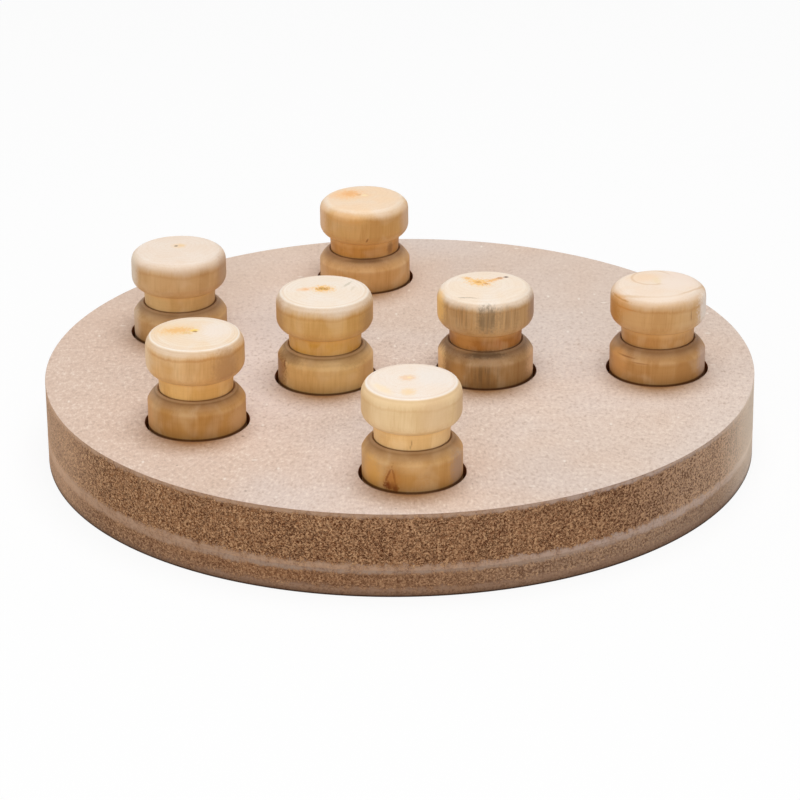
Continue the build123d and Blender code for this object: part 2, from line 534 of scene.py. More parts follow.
def fibreboard(name, board, heights, rim, centres=(), well_radius=0.0):
    """Bare fibreboard between two heights: sanded faces, bored walls inside, and a sawn rim."""
    material, tree = new_material(name)
    point = local_millimetres(tree)
    x, y, _ = parts(point)
    low, high = (height / MM for height in heights)
    ring, gap = around_wells(point, centres, well_radius / MM, high)
    face_colour, face_height = fibreboard_face(point, board, ring, gap)
    rim_colour, rim_height = fibreboard_rim(point, board, low, high, rim)
    wall_colour, wall_height = bored_wall(point)
    upward = parts(Wire(tree).node("ShaderNodeTexCoord", out=1))[2]
    flat = step(abs(upward), 0.6, 0.85)
    outside = step((x**2 + y**2) ** 0.5, *WALL_REACH)
    colour = blend(flat, blend(outside, wall_colour, rim_colour), face_colour)
    upright_height = outside * rim_height + (1 - outside) * wall_height
    height = flat * face_height * 0.3 + (1 - flat) * upright_height
    finish_material(tree, colour, 0.75, height, 0.3, specular=0.1)
    return material


# ---------------------------------------------------------------------------
# Turned wood
# ---------------------------------------------------------------------------


BODY_SIDE = 20.75  # where a stain or a patch of painted light lies on a peg's side, in millimetres from the axis
STAIN_DEPTH = 3.5  # how deep a side stain or patch goes, so that it keeps to that side
FACE_STAIN_DEPTH = 4.0


def on_face(x, y, along, across, turn, colour, strength, ragged=0.45):
    """A stain on a peg's end-grain face, in millimetres from its axis, turned by degrees."""
    return {
        "centre": (x, y, None),
        "turn": turn,
        "lean": 0.0,
        "size": (along, across, FACE_STAIN_DEPTH),
        "colour": srgb(*colour),
        "strength": strength,
        "ragged": ragged,
        "streaked": False,
    }


def on_side(bearing, height, wide, high, colour, strength, **options):
    """A stain or a patch of painted light and shade on a peg's side, at a bearing and a height above its
    foot.

    The options are the radius at which it lies, its lean in degrees, how ragged it is, and whether
    it is streaked, so that it shows only in thin lines along the grain.
    """
    angle = math.radians(bearing)
    radius = options.get("radius", BODY_SIDE)
    return {
        "centre": (radius * math.cos(angle), radius * math.sin(angle), height),
        "turn": bearing,
        "lean": options.get("lean", 0.0),
        "size": (STAIN_DEPTH, wide, high),
        "colour": srgb(*colour),
        "strength": strength,
        "ragged": options.get("ragged", 0.35),
        "streaked": options.get("streaked", False),
    }


PITH = (150, 98, 30)
ORANGE = (238, 176, 92)
PALE_ORANGE = (242, 206, 154)
YELLOW = (250, 214, 116)
KNOT = (122, 50, 0)
DARK_KNOT = (84, 44, 18)
BROWN_STREAK = (132, 80, 38)
DARK_STREAK = (98, 64, 30)
RUST = (176, 104, 50)

@dataclass
class Timber:
    """What one peg's timber looks like: its tones, lengths in millimetres, and strengths from 0 up."""

    face: tuple
    head: tuple
    neck: tuple
    body: tuple
    pith: tuple  # where the growth rings' middle is on the face
    spacing: float  # between the rings at the pith
    rings: float  # of the rings on the face
    grain: float  # of the side grain
    lathe: float  # of the lathe's marks on the face
    crease: float  # of the painted highlight on the crease round the face
    painted_bead: float  # of the painted highlight and shade of a bead at the neck's foot
    hollow: float  # of the painted shade in the hollow where the shoulder meets the neck
    edge: float  # how far the head's rounded edge takes the head's tone
    cream: float  # how far down the head the face's pale end grain reaches, which is partly painted light on the upward faces
    seam: float  # of the dark seam below the end grain
    soft: float  # how far the corner at the crease is rounded
    disc: float = 0.0  # how far the face is darker inside its crease
    crowding: float = 1.0  # the power of the distance from the pith by which the rings are counted
    wander: float = 3.5  # how many rings' widths a ring strays
    late: float = 0.4  # the part of a ring at which its late wood starts


TIMBER = {
    "front_peg": Timber(
        face=srgb(244, 227, 210), head=srgb(242, 209, 161), neck=srgb(247, 203, 139),
        body=srgb(208, 158, 94), pith=(-1.5, 2.9), spacing=2.6, rings=0.06, grain=0.22, lathe=0.6,
        crease=0.65, painted_bead=0.25, hollow=0.5, edge=0.95, cream=6.0, seam=0.2, soft=0.5,
    ),
    "left_peg": Timber(
        face=srgb(242, 218, 188), head=srgb(228, 180, 120), neck=srgb(237, 187, 111),
        body=srgb(198, 147, 82), pith=(0.0, 1.1), spacing=1.9, rings=0.13, grain=0.6, lathe=0.8,
        crease=0.5, painted_bead=0.45, hollow=0.55, edge=0.22, cream=5.0, seam=0.5, soft=0.5,
    ),
    "back_left_peg": Timber(
        face=srgb(239, 221, 204), head=srgb(216, 174, 122), neck=srgb(221, 182, 122),
        body=srgb(204, 161, 107), pith=(-0.8, 2.7), spacing=2.2, rings=0.07, grain=0.35, lathe=0.25,
        crease=0.0, painted_bead=0.2, hollow=0.5, edge=0.3, cream=6.9, seam=0.2, soft=2.6, disc=0.2,
    ),
    "back_peg": Timber(
        face=srgb(249, 224, 194), head=srgb(220, 172, 108), neck=srgb(206, 144, 68),
        body=srgb(220, 170, 110), pith=(-6.1, 5.2), spacing=2.4, rings=0.06, grain=0.6, lathe=0.2,
        crease=0.0, painted_bead=0.1, hollow=0.5, edge=0.42, cream=5.5, seam=0.15, soft=3.0, disc=0.7,
    ),
    "right_peg": Timber(
        face=srgb(244, 223, 202), head=srgb(216, 170, 114), neck=srgb(205, 151, 88),
        body=srgb(201, 151, 92), pith=(-2.0, 7.0), spacing=10.0, rings=0.5, grain=0.5, lathe=0.2,
        crease=0.0, painted_bead=0.1, hollow=0.55, edge=0.58, cream=6.5, seam=0.3, soft=3.0, disc=0.25,
        crowding=0.83, wander=0.4, late=0.84,
    ),
    "inner_left_peg": Timber(
        face=srgb(243, 226, 206), head=srgb(226, 181, 113), neck=srgb(222, 168, 72),
        body=srgb(229, 187, 121), pith=(-0.3, 0.7), spacing=2.0, rings=0.07, grain=0.5, lathe=0.35,
        crease=0.45, painted_bead=0.5, hollow=0.7, edge=0.06, cream=6.5, seam=0.25, soft=0.5,
    ),
    "inner_right_peg": Timber(
        face=srgb(244, 225, 203), head=srgb(210, 172, 124), neck=srgb(176, 112, 36),
        body=srgb(174, 134, 86), pith=(-2.0, 1.8), spacing=2.4, rings=0.08, grain=1.4, lathe=0.3,
        crease=0.2, painted_bead=0.2, hollow=0.4, edge=0.1, cream=5.5, seam=0.2, soft=2.0,
    ),
}

# Each peg's stains and patches of painted light and shade, from the first one laid on to the last. The
# wide patches at the left and right of head and body are painted light, shade and sheen, the dark bands
# near the neck's foot are painted shade in the hollow, and pale bands at the ridge are painted highlights.
STAINS_AND_PAINTED_LIGHT = {
    "front_peg": [
        on_face(10, 3, 12, 14, 0, (238, 232, 226), 0.5),
        on_face(-12, -8, 10, 3, -56, (250, 224, 178), 0.5),
        on_face(-1.5, 2, 4.6, 3.8, 0, ORANGE, 0.45, ragged=0.7),
        on_face(-0.9, 2.1, 1.5, 1.3, 0, (250, 226, 176), 0.8),
        on_face(-1.2, -12, 4.2, 4.4, 0, (244, 214, 170), 0.85, ragged=0.6),
        on_side(-63, 58.5, 12, 14, (226, 186, 140), 0.5),
        on_side(-114, 29.6, 4.6, 7.2, (190, 122, 56), 0.75, ragged=0.5),
        on_side(-114.5, 27, 4.6, 2.4, (142, 78, 30), 0.6, ragged=0.9),
        on_side(-119, 31.4, 0.7, 6.6, KNOT, 0.55, lean=-24, ragged=0.8),
        on_side(-120, 27, 2.2, 2.4, KNOT, 0.75, ragged=0.7),
        on_side(-109.4, 26.2, 1.7, 2.1, KNOT, 0.7, ragged=0.7),
        on_side(-111, 31, 0.7, 6.2, KNOT, 0.45, lean=10, ragged=0.8),
        # a painted highlight on the ridge
        on_side(-88, 35.5, 9, 4.5, (232, 186, 128), 0.45),
        # the next two are painted sheen and shade at the right of body and head
        on_side(-26, 31, 8.5, 12, (182, 150, 126), 0.8, ragged=0.6),
        on_side(-16, 55, 9, 14, (218, 182, 142), 0.5),
        on_side(-94, 29, 11, 6, (206, 146, 70), 0.35, ragged=0.9),
        # painted light at the body's left
        on_side(-144, 31, 9, 9, (230, 172, 88), 0.75),
        on_side(-90.9, 44.4, 0.45, 2, BROWN_STREAK, 0.42, radius=16),
        on_side(-93, 42.6, 0.4, 1.3, BROWN_STREAK, 0.4, radius=16),
    ],
    "left_peg": [
        on_face(-9, 3, 11, 13, 0, (243, 213, 175), 0.5),
        on_face(9.5, 3, 11, 13, 0, (243, 231, 221), 0.65),
        on_face(-7.8, 2.6, 11.5, 6.6, 0, PALE_ORANGE, 0.95, ragged=0.8),
        on_face(-7.2, 2.6, 8.8, 4, 0, ORANGE, 0.55, ragged=1.2),
        on_face(-3, -1, 3, 1.9, -15, (226, 180, 92), 0.5, ragged=1.2),
        on_face(0, 1.7, 2.6, 2.4, 0, YELLOW, 0.95),
        on_face(0.3, 0.5, 1.4, 1, 0, PITH, 0.8, ragged=0.7),
        # the next four are painted light and shade on the right and left of head and body
        on_side(-48, 55, 10, 14, (184, 136, 88), 0.75),
        on_side(-165, 55, 9, 14, (246, 216, 176), 0.6),
        on_side(-30, 30, 9, 9, (216, 172, 122), 0.6),
        on_side(-165, 31, 9, 12, (224, 168, 108), 0.6),
    ],
    "back_left_peg": [
        on_face(0.2, 2.7, 4.4, 4.2, 10, PALE_ORANGE, 0.55),
        on_face(1.2, 3.2, 2.2, 2, 0, (236, 196, 124), 0.4),
        on_face(-1, 2.6, 1.2, 1.1, 0, DARK_KNOT, 0.85),
        # the next three are painted light and shade on the left of head and body and at the head's right
        on_side(-165, 56, 9, 16, (230, 212, 190), 0.8),
        on_side(-165, 31, 9, 12, (222, 196, 166), 0.8),
        on_side(-15, 55, 9, 14, (196, 164, 140), 0.6),
    ],
    "back_peg": [
        on_face(-8, 4, 12, 9.5, 0, (247, 194, 134), 0.75, ragged=0.6),
        on_face(-6, 4.8, 5.2, 4.8, -10, (240, 172, 100), 0.6, ragged=0.9),
        on_face(0.6, 2.2, 3, 2.6, 0, (238, 202, 154), 0.4, ragged=0.5),
        on_face(0.2, 1.8, 2.2, 1.8, 0, (253, 230, 184), 0.7, ragged=0.5),
        on_face(-2.2, 2.5, 1.4, 0.9, 0, (190, 140, 84), 0.5, ragged=0.6),
        # painted light at the head's left
        on_side(-165, 57, 9, 14, (240, 200, 160), 0.7),
        on_side(-116, 60.6, 15, 4, (238, 180, 106), 0.45, radius=19.4),
        on_side(-86, 50.4, 0.65, 1.6, KNOT, 0.65, radius=19.5, lean=-24),
        on_side(-42, 43.4, 2.6, 5, BROWN_STREAK, 0.6, radius=16.3),
        # painted shade in the hollow at the neck's foot
        on_side(-88, 39.4, 14, 1.3, (96, 64, 36), 0.5, radius=17, ragged=0.2),
        # the next two are painted light and sheen at the head's right and the body's left
        on_side(-18, 57, 9, 14, (226, 190, 156), 0.75),
        on_side(-160, 31, 9, 9, (232, 190, 142), 0.6),
        on_side(-110, 28, 7, 8, (206, 152, 82), 0.5),
    ],
    "right_peg": [
        on_face(-5.5, 6.5, 9, 9, 0, (246, 208, 164), 0.4),
        on_face(11, 8, 12, 14, 0, (241, 221, 205), 0.95),
        on_face(6.5, -0.5, 11, 9.5, 0, (243, 225, 209), 0.95),
        on_face(3, -14.5, 17, 5, 0, (243, 224, 205), 0.6),
        on_face(-0.6, 2.6, 2.6, 5.6, 0, (238, 214, 170), 0.5, ragged=0.9),
        on_face(-0.2, -1.2, 2, 1, 20, (222, 188, 150), 0.5, ragged=0.8),
        on_side(-150, 61.3, 9, 0.5, (166, 110, 44), 0.8, radius=19.5, ragged=0.7),
        on_side(-146, 58.2, 12, 0.5, (200, 120, 44), 0.7, ragged=0.6),
        # the next five are painted light and shade on the left of head and body, and a pale painted
        # reflection at the right
        on_side(-150, 59, 13, 6, (224, 164, 96), 0.65),
        on_side(-162, 53, 9, 10, (196, 132, 52), 0.85),
        on_side(-150, 34, 9, 12, (222, 162, 94), 0.7),
        on_side(-18, 55, 10.5, 14, (250, 234, 220), 0.9, ragged=0.6),
        on_side(-20, 31, 9, 10, (204, 176, 160), 0.8),
        on_side(-136, 35.9, 7, 0.45, (148, 84, 42), 0.65, ragged=0.3),
        on_side(-115, 34.4, 5.4, 0.4, (148, 84, 42), 0.45, ragged=0.2),
        on_side(-50.5, 55, 0.45, 3.2, BROWN_STREAK, 0.45),
    ],
    "inner_left_peg": [
        on_face(-0.3, 0.7, 6.2, 5.2, 0, (244, 190, 100), 0.9, ragged=1),
        on_face(-0.3, 0.7, 3.4, 1.9, 0, (166, 108, 32), 0.8, ragged=1.2),
        on_face(-0.5, 0.5, 0.9, 0.8, 0, YELLOW, 0.5),
        on_face(-8.6, 0.7, 4.6, 3, 0, (246, 200, 152), 0.7, ragged=0.6),
        on_face(-7.9, 0.6, 1.8, 1.6, 0, (238, 170, 104), 0.5, ragged=0.8),
        on_face(10, 6.6, 6, 1, 64, (196, 184, 158), 0.6, ragged=0.7),
        on_face(12.4, 2, 4, 0.9, 74, (206, 190, 160), 0.4, ragged=0.7),
        # the next three are painted shade on the left and right of head and body
        on_side(-162, 55, 9, 14, (190, 142, 90), 0.6),
        on_side(-25, 53, 9, 13, (184, 140, 92), 0.7),
        on_side(-30, 31, 9, 12, (196, 146, 92), 0.5),
        # the next three are painted shade: on the shoulder, at the body's left and in the hollow at the
        # neck's foot
        on_side(-50, 37.5, 10, 3.5, (150, 112, 70), 0.35, radius=19.3),
        on_side(-164, 31, 11, 13, (144, 94, 46), 0.8, ragged=0.6),
        on_side(-146, 38.2, 11, 4, (120, 84, 48), 0.5, radius=18.8),
        on_side(-148, 35, 1.2, 3.4, (112, 64, 24), 0.75, lean=14, ragged=0.6),
        on_side(-150, 34.5, 2.6, 4.6, (158, 104, 54), 0.4),
    ],
    "inner_right_peg": [
        on_face(-6.5, 7.2, 7, 2.4, -48, PALE_ORANGE, 0.9, ragged=0.9),
        on_face(-7.5, 9, 2.2, 1.6, -48, ORANGE, 0.7, ragged=0.9),
        on_face(-2.2, 3, 7.2, 5.8, -20, (246, 194, 110), 0.9, ragged=1.2),
        on_face(-8, -13.6, 6, 0.6, -10, (156, 132, 100), 0.6, ragged=1.3),
        on_face(3.6, 6, 6.8, 2.2, 38, ORANGE, 0.8, ragged=0.9),
        on_face(-3, 3.4, 2.2, 1.2, -30, (206, 136, 50), 0.7, ragged=1.2),
        on_face(0, 1.2, 2, 1.2, 20, (196, 124, 50), 0.6, ragged=1.2),
        on_face(6.4, 8.4, 2.4, 1.4, 30, RUST, 0.6, ragged=0.9),
        on_face(9.2, 10, 1.5, 1.3, 0, DARK_KNOT, 0.95),
        on_side(-88, 57.5, 7.5, 10, (108, 86, 58), 0.6, streaked=True),
        on_side(-89, 57, 5.6, 8.5, (130, 108, 80), 0.5, ragged=0.6),
        on_side(-120, 57, 7, 8.5, DARK_STREAK, 0.35, streaked=True),
        on_side(-62, 56.5, 7, 8.5, DARK_STREAK, 0.35, streaked=True),
        # the next two are painted light at the head's left and painted shade at its right
        on_side(-168, 57, 10, 11, (255, 206, 122), 0.95),
        on_side(-14, 56, 9, 10, (172, 138, 118), 0.7),
        # painted shade in the hollow at the neck's foot
        on_side(-92, 39.4, 15, 2.4, (66, 46, 24), 0.6, radius=17.4, ragged=0.6),
        on_side(-90, 31, 9, 8, (98, 74, 44), 0.5, streaked=True),
        # the next two are painted light at the body's left and a painted highlight on the ridge
        on_side(-168, 33, 10, 11, (255, 212, 148), 0.95),
        on_side(-78, 36.4, 15, 2.6, (206, 172, 134), 0.3, radius=19.9, ragged=0.6),
        on_side(-128, 31, 6, 7, (196, 142, 74), 0.55),
        # painted light and sheen at the body's right
        on_side(-15, 32, 9, 11, (226, 184, 138), 0.8),
        on_side(-70, 44, 3, 5, RUST, 0.6, radius=16.3, streaked=True),
        on_side(-130, 43.5, 8, 6, (216, 158, 88), 0.5, radius=16),
    ],
}


def with_patch(colour, wood, stain, wobble):
    """A colour with one soft-edged stain or patch of painted light, fading with the scaled distance from
    its centre.
    """
    x, y, z = stain["centre"]
    place = (x, y, wood.top if z is None else z)
    turned = wood.point.node(
        "ShaderNodeMapping",
        {"vector_type": "TEXTURE"},
        {
            "Vector": wood.point,
            "Location": place,
            "Rotation": (math.radians(stain["lean"]), 0.0, math.radians(stain["turn"])),
            "Scale": stain["size"],
        },
    )
    away = turned.node("ShaderNodeVectorMath", {"operation": "LENGTH"}, {0: turned}, out=1)
    ragged = away + (wobble - 0.5) * (stain["ragged"] * 2)
    factor = step(ragged, 1.05, 0.25) * stain["strength"]
    if stain["streaked"]:
        factor = factor * step(wood.streak, 0.40, 0.62)
    return blend(factor, colour, stain["colour"])


class PegWood:
    """What all parts of one peg's finish share: its coordinates, its heights and its timber's noises.

    Lengths are in millimetres. Every peg's noises start from its own place and turn, so that no two
    pegs look alike.
    """

    def __init__(self, tree, name, peg, shape):
        index = PEG_NAMES.index(name)
        self.index = index
        self.timber = TIMBER[name]
        self.point = local_millimetres(tree, (peg.x, peg.y, peg.foot))
        self.x, self.y, self.z = parts(self.point)
        self.radius = (self.x**2 + self.y**2) ** 0.5
        self.top = peg.height / MM
        self.head_foot = self.top - shape.head_length / MM
        self.crest = self.head_foot - shape.neck_length / MM
        self.crease = (peg.head_radius - shape.rim_radius * (1 - math.cos(shape.rim_turn))) / MM
        turn = {
            "Vector": self.point,
            "Location": (37.0 * index, 11.0 * index, 53.0 * index),
            "Rotation": (math.radians(2.5), math.radians(-3.0), math.radians(40.0 + 47.0 * index)),
        }
        self.own = self.point.node("ShaderNodeMapping", {"vector_type": "POINT"}, turn)
        self.fibre = noise(self.stretched(0.03), 1.5, 3.0, 0.6, 0.2)
        self.streak = noise(self.stretched(0.02), 0.85, 2.0, 0.6, 0.3)
        self.cloud = noise(self.own, 0.09, 2.0, 0.5, 0.4)
        self.pores = step(noise(self.stretched(0.1), 3.4, 1.0), 0.70, 0.82)
        self.end_grain = noise(self.own, 1.9, 2.0, 0.6)
        self.turning = noise(self.combined(self.radius, 9.0 * index, 0.0), 0.9, 2.0, 0.7)
        self.late = self.growth_rings()

    def stretched(self, squeeze):
        """The peg's coordinates squeezed along the grain, so that a noise there is drawn out."""
        return scaled(self.own, 1.0, 1.0, squeeze)

    def combined(self, x, y, z):
        """A vector from three values, some of them wires."""
        return self.point.node("ShaderNodeCombineXYZ", {}, {0: x, 1: y, 2: z})

    def growth_rings(self):
        """Late wood of the growth rings: a soft start and a sharp end once in every ring's width."""
        timber = self.timber
        pith_x, pith_y = timber.pith
        warp = noise(self.stretched(0.25), 0.07)
        away = ((self.x - pith_x) ** 2 + (self.y - pith_y) ** 2) ** 0.5
        place = (away / timber.spacing) ** timber.crowding + (warp - 0.5) * timber.wander
        return between(place.maths("FRACT", place, 0.0), timber.late, 0.92, 0.94, 1.0)


def side_tone(wood):
    """The side grain of body, neck and head, with painted shade on the shoulder and a painted highlight on
    the ridge below it.
    """
    timber, z, crest = wood.timber, wood.z, wood.crest
    broad = noise(wood.stretched(0.3), 0.11, 2.0, 0.5, 0.5)
    side = blend(step(z, crest - 0.6, crest + 0.6), timber.body, timber.head)
    on_neck = between(z, crest - 0.2, crest + 0.6, wood.head_foot - 0.1, wood.head_foot + 0.5)
    side = blend(on_neck * 0.85, side, timber.neck)
    side = darker(step(broad + (wood.fibre - 0.5) * 0.35, 0.62, 0.36) * 0.55, side, (0.82, 0.72, 0.56))
    side = blend(step(wood.cloud, 0.45, 0.68) * 0.2, side, srgb(240, 214, 176))
    side = darker(step(wood.fibre, 0.58, 0.34) * (0.2 * timber.grain), side, (0.84, 0.76, 0.64))
    side = darker(step(wood.streak, 0.50, 0.34) * (0.3 * timber.grain), side, (0.78, 0.68, 0.52))
    side = darker(wood.late * 0.14, side, (0.86, 0.76, 0.60))
    side = darker(wood.pores * 0.1, side, (0.62, 0.46, 0.30))
    bands = noise(wood.combined(0.0, 5.0 * wood.index, z), 0.8, 3.0, 0.7)
    side = darker(step(bands, 0.55, 0.35) * 0.12, side, (0.84, 0.76, 0.66))

    # painted shade on the shoulder: duller and greyer, and darkest in the hollow at the neck's foot
    shoulder = between(z, crest - 5.2, crest - 0.8, crest, crest + 0.3)
    side = blend(shoulder * 0.3, side, srgb(152, 134, 118))
    hollow = shoulder * step(wood.radius + (wood.cloud - 0.5) * 3.0, 19.6, 16.8)
    side = darker(hollow * timber.hollow, side, (0.50, 0.40, 0.30))
    # a painted highlight on the ridge where the shoulder turns down into the side
    ridge = between(z, crest - 6.6, crest - 4.9, crest - 4.7, crest - 3.0)
    return blend(ridge * step(broad, 0.36, 0.6) * 0.12, side, srgb(238, 210, 172))


def face_end_grain(wood):
    """The face's end grain: rings about the pith, and faint rings of the lathe near its edge."""
    timber, radius = wood.timber, wood.radius
    face = blend(step(wood.cloud, 0.32, 0.74) * 0.4, timber.face, srgb(244, 236, 228))
    face = blend(wood.late * timber.rings, face, srgb(214, 176, 130))
    face = blend(step(wood.end_grain, 0.52, 0.30) * 0.2, face, srgb(214, 180, 140))
    lathe = step(radius, 13.0, 17.0) * timber.lathe
    face = blend(lathe * step(wood.turning, 0.5, 0.3) * 0.5, face, srgb(206, 160, 108))
    face = blend(lathe * step(wood.turning, 0.52, 0.7) * 0.6, face, srgb(252, 246, 240))
    soft = timber.soft
    beyond_crease = step(radius - wood.crease, 0.1 - 0.6 * soft, 0.6 + 0.4 * soft)
    face = blend(beyond_crease * timber.edge, face, timber.head)
    within = step(radius - wood.crease + (wood.cloud - 0.5) * 1.5, -0.4, -2.2)
    return darker(within * timber.disc, face, (0.95, 0.86, 0.76))


def turned_lines(colour, wood, near_face):
    """A colour with lines at the crease, under the head and on the neck, most of them painted light and
    shade.
    """
    timber, z, crest, head_foot = wood.timber, wood.z, wood.crest, wood.head_foot
    beyond = wood.radius - wood.crease
    # a painted highlight on the crease
    crease = between(beyond, -0.5, -0.05, 0.0, 0.6)
    colour = blend(crease * near_face * (0.6 * timber.crease), colour, srgb(253, 248, 240))
    edge_line = between(beyond, 0.35, 0.6, 0.8, 1.3)
    colour = blend(edge_line * (0.35 * timber.crease), colour, srgb(190, 148, 102))
    # painted shade of a groove just inside the crease
    groove = between(beyond, -1.5, -0.9, -0.7, -0.35)
    colour = blend(groove * near_face * (0.25 * timber.crease), colour, srgb(206, 168, 124))
    # painted light under the head, where the head's shadow falls on the neck
    under_head_light = between(z, head_foot - 3.0, head_foot - 0.3, head_foot + 0.4, head_foot + 3.6)
    colour = blend(under_head_light * 0.28, colour, srgb(255, 210, 136))
    # painted shade in the quirk at the neck's foot
    foot_shade_line = between(z, crest - 1.3, crest - 0.5, crest - 0.2, crest + 0.5)
    foot_shade_line = foot_shade_line * step(wood.radius, 16.7, 16.2)
    colour = blend(foot_shade_line * max(0.0, 0.6 - 1.2 * timber.painted_bead), colour, srgb(116, 68, 28))
    # the painted highlight and shade of a bead at the neck's foot
    near_crest = between(z, crest - 1.4, crest - 0.8, crest + 0.2, crest + 0.6)
    painted_bead = near_crest * between(wood.radius, 16.4, 16.8, 17.1, 17.5)
    colour = blend(painted_bead * (0.5 * timber.painted_bead), colour, srgb(222, 190, 146))
    bead_shade_line = near_crest * between(wood.radius, 17.2, 17.6, 18.0, 18.5)
    return blend(bead_shade_line * (0.5 * timber.painted_bead), colour, srgb(104, 74, 38))


def board_level_shade(colour, wood):
    """A colour with painted shade: duller near the board, and a dark line where the peg goes into its well.
    """
    near_board_shade = step(wood.z + (wood.cloud - 0.5) * 4.0, WELL_DEPTH + 6.0, WELL_DEPTH)
    colour = darker(near_board_shade * 0.4, colour, (0.66, 0.60, 0.56))
    # a dark line of painted shade at the board's face, where the gap round the peg is in shadow
    above = wood.z - WELL_DEPTH
    return blend(between(above, -1.8, -1.0, -0.2, 0.4) * 0.8, colour, srgb(78, 36, 12))


def turned_wood(name, peg, shape):
    """Bare turned hardwood: side grain, and end grain on the face and a little way down the head."""
    material, tree = new_material(name + "_wood")
    wood = PegWood(tree, name, peg, shape)
    timber = wood.timber
    cream_foot = wood.top - timber.cream
    reach = wood.z + (wood.cloud - 0.5) * 3.0 + (wood.streak - 0.5) * 1.4
    # pale end grain on the face and the head's rounded top: partly the wood's own colour, partly painted
    # light on surfaces that face up
    face_mask = step(reach, cream_foot, wood.top - 1.2)
    colour = blend(face_mask, side_tone(wood), face_end_grain(wood))
    seam = between(reach, cream_foot - 0.6, cream_foot + 0.2, cream_foot + 0.5, cream_foot + 1.4)
    colour = darker(seam * timber.seam, colour, (0.80, 0.62, 0.42))
    wobble = noise(wood.own, 0.9, 3.0, 0.65)
    for stain in STAINS_AND_PAINTED_LIGHT[name]:
        colour = with_patch(colour, wood, stain, wobble)
    near_face = step(wood.z, wood.top - 2.4, wood.top - 1.6)
    colour = turned_lines(colour, wood, near_face)
    colour = board_level_shade(colour, wood)

    side_height = wood.fibre * 0.35 - wood.pores * 0.25
    face_height = wood.end_grain * 0.2 - wood.late * 0.1
    height = (1 - face_mask) * side_height + face_mask * face_height + wood.turning * near_face * 0.35
    finish_material(tree, colour, 0.44 + wood.fibre * 0.1, height, 0.12, specular=0.2)
    return material


# ---------------------------------------------------------------------------
# Surfaces
# ---------------------------------------------------------------------------


def turned_surface(profile, columns, centre=(0.0, 0.0), radial=None):
    """A profile of (radius, height) rows carried round an upright axis.

    A point is (centre + radius * cos(turn), centre + radius * sin(turn), height). Radial, if given,
    is a grid of rows by columns that is added to the radius.
    """
    turn = np.arange(columns) * (2 * math.pi / columns)
    radius = np.repeat(profile[:, :1], columns, axis=1)
    if radial is not None:
        radius = radius + radial
    height = np.repeat(profile[:, 1:], columns, axis=1)
    points = np.stack([centre[0] + radius * np.cos(turn), centre[1] + radius * np.sin(turn), height], -1)
    index = np.arange(len(profile) * columns).reshape(len(profile), columns)
    right = np.roll(index, -1, axis=1)
    quads = np.stack([index[:-1], right[:-1], right[1:], index[1:]], -1)
    return points.reshape(-1, 3), quads.reshape(-1, 4)


def smooth_field(rows, columns, row_cells, column_cells, seed):
    """Even noise on a grid that closes on itself: white noise blurred in frequency, scaled to +-1.

    row_cells and column_cells say about how many bumps there are across each way.
    """
    spectrum = np.fft.fft2(np.random.default_rng(seed).standard_normal((rows, columns)))
    down = np.fft.fftfreq(rows) * rows / row_cells
    along = np.fft.fftfreq(columns) * columns / column_cells
    field = np.fft.ifft2(spectrum * np.exp(-(down[:, None] ** 2 + along[None, :] ** 2))).real
    return field / np.abs(field).max()


def arc(centre, radius, start, end, count):
    """Points on an arc about a centre in the profile, by degrees up from the outward direction."""
    turn = np.radians(np.linspace(start, end, count))
    return np.stack([centre[0] + radius * np.cos(turn), centre[1] + radius * np.sin(turn)], 1)


def line(start, end, count):
    """Evenly spaced points from start to end."""
    share = np.linspace(0.0, 1.0, count)[:, None]
    return np.array(start) * (1 - share) + np.array(end) * share


def joined(*stretches):
    """One profile from several stretches, each of which starts where the last one ends."""
    rows = [stretches[0]]
    for stretch in stretches[1:]:
        rows.append(stretch[1:])
    return np.concatenate(rows)


MERGE_DISTANCE = 0.002 * MM
SLIVER = 0.0001 * MM
SHARP_ANGLE = math.radians(40.0)


def build_piece(name, surfaces, material):
    """One closed mesh object from several surfaces, with its doubles merged and its faces outwards."""
    points = np.concatenate([surface[0] for surface in surfaces])
    faces, offset = [], 0
    for surface_points, surface_faces in surfaces:
        faces.extend((surface_faces + offset).tolist())
        offset += len(surface_points)
    mesh = bpy.data.meshes.new(name)
    mesh.from_pydata(points.tolist(), [], faces)
    work = bmesh.new()
    work.from_mesh(mesh)
    bmesh.ops.remove_doubles(work, verts=work.verts, dist=MERGE_DISTANCE)
    bmesh.ops.dissolve_degenerate(work, edges=work.edges, dist=SLIVER)
    bmesh.ops.recalc_face_normals(work, faces=work.faces)
    work.to_mesh(mesh)
    work.free()
    mesh.polygons.foreach_set("use_smooth", [True] * len(mesh.polygons))
    mesh.set_sharp_from_angle(angle=SHARP_ANGLE)
    mesh.materials.append(material)
    piece = bpy.data.objects.new(name, mesh)
    bpy.context.scene.collection.objects.link(piece)
    return piece


# ---------------------------------------------------------------------------
# Boards
# ---------------------------------------------------------------------------

RIM_COLUMNS = 1440
WELL_COLUMNS = 192
GRID_SPACING = 9 * MM  # between the points inside a face
FLAT_STRIP = 0.4 * MM  # a narrow level strip beside every eased corner keeps the face's shading flat


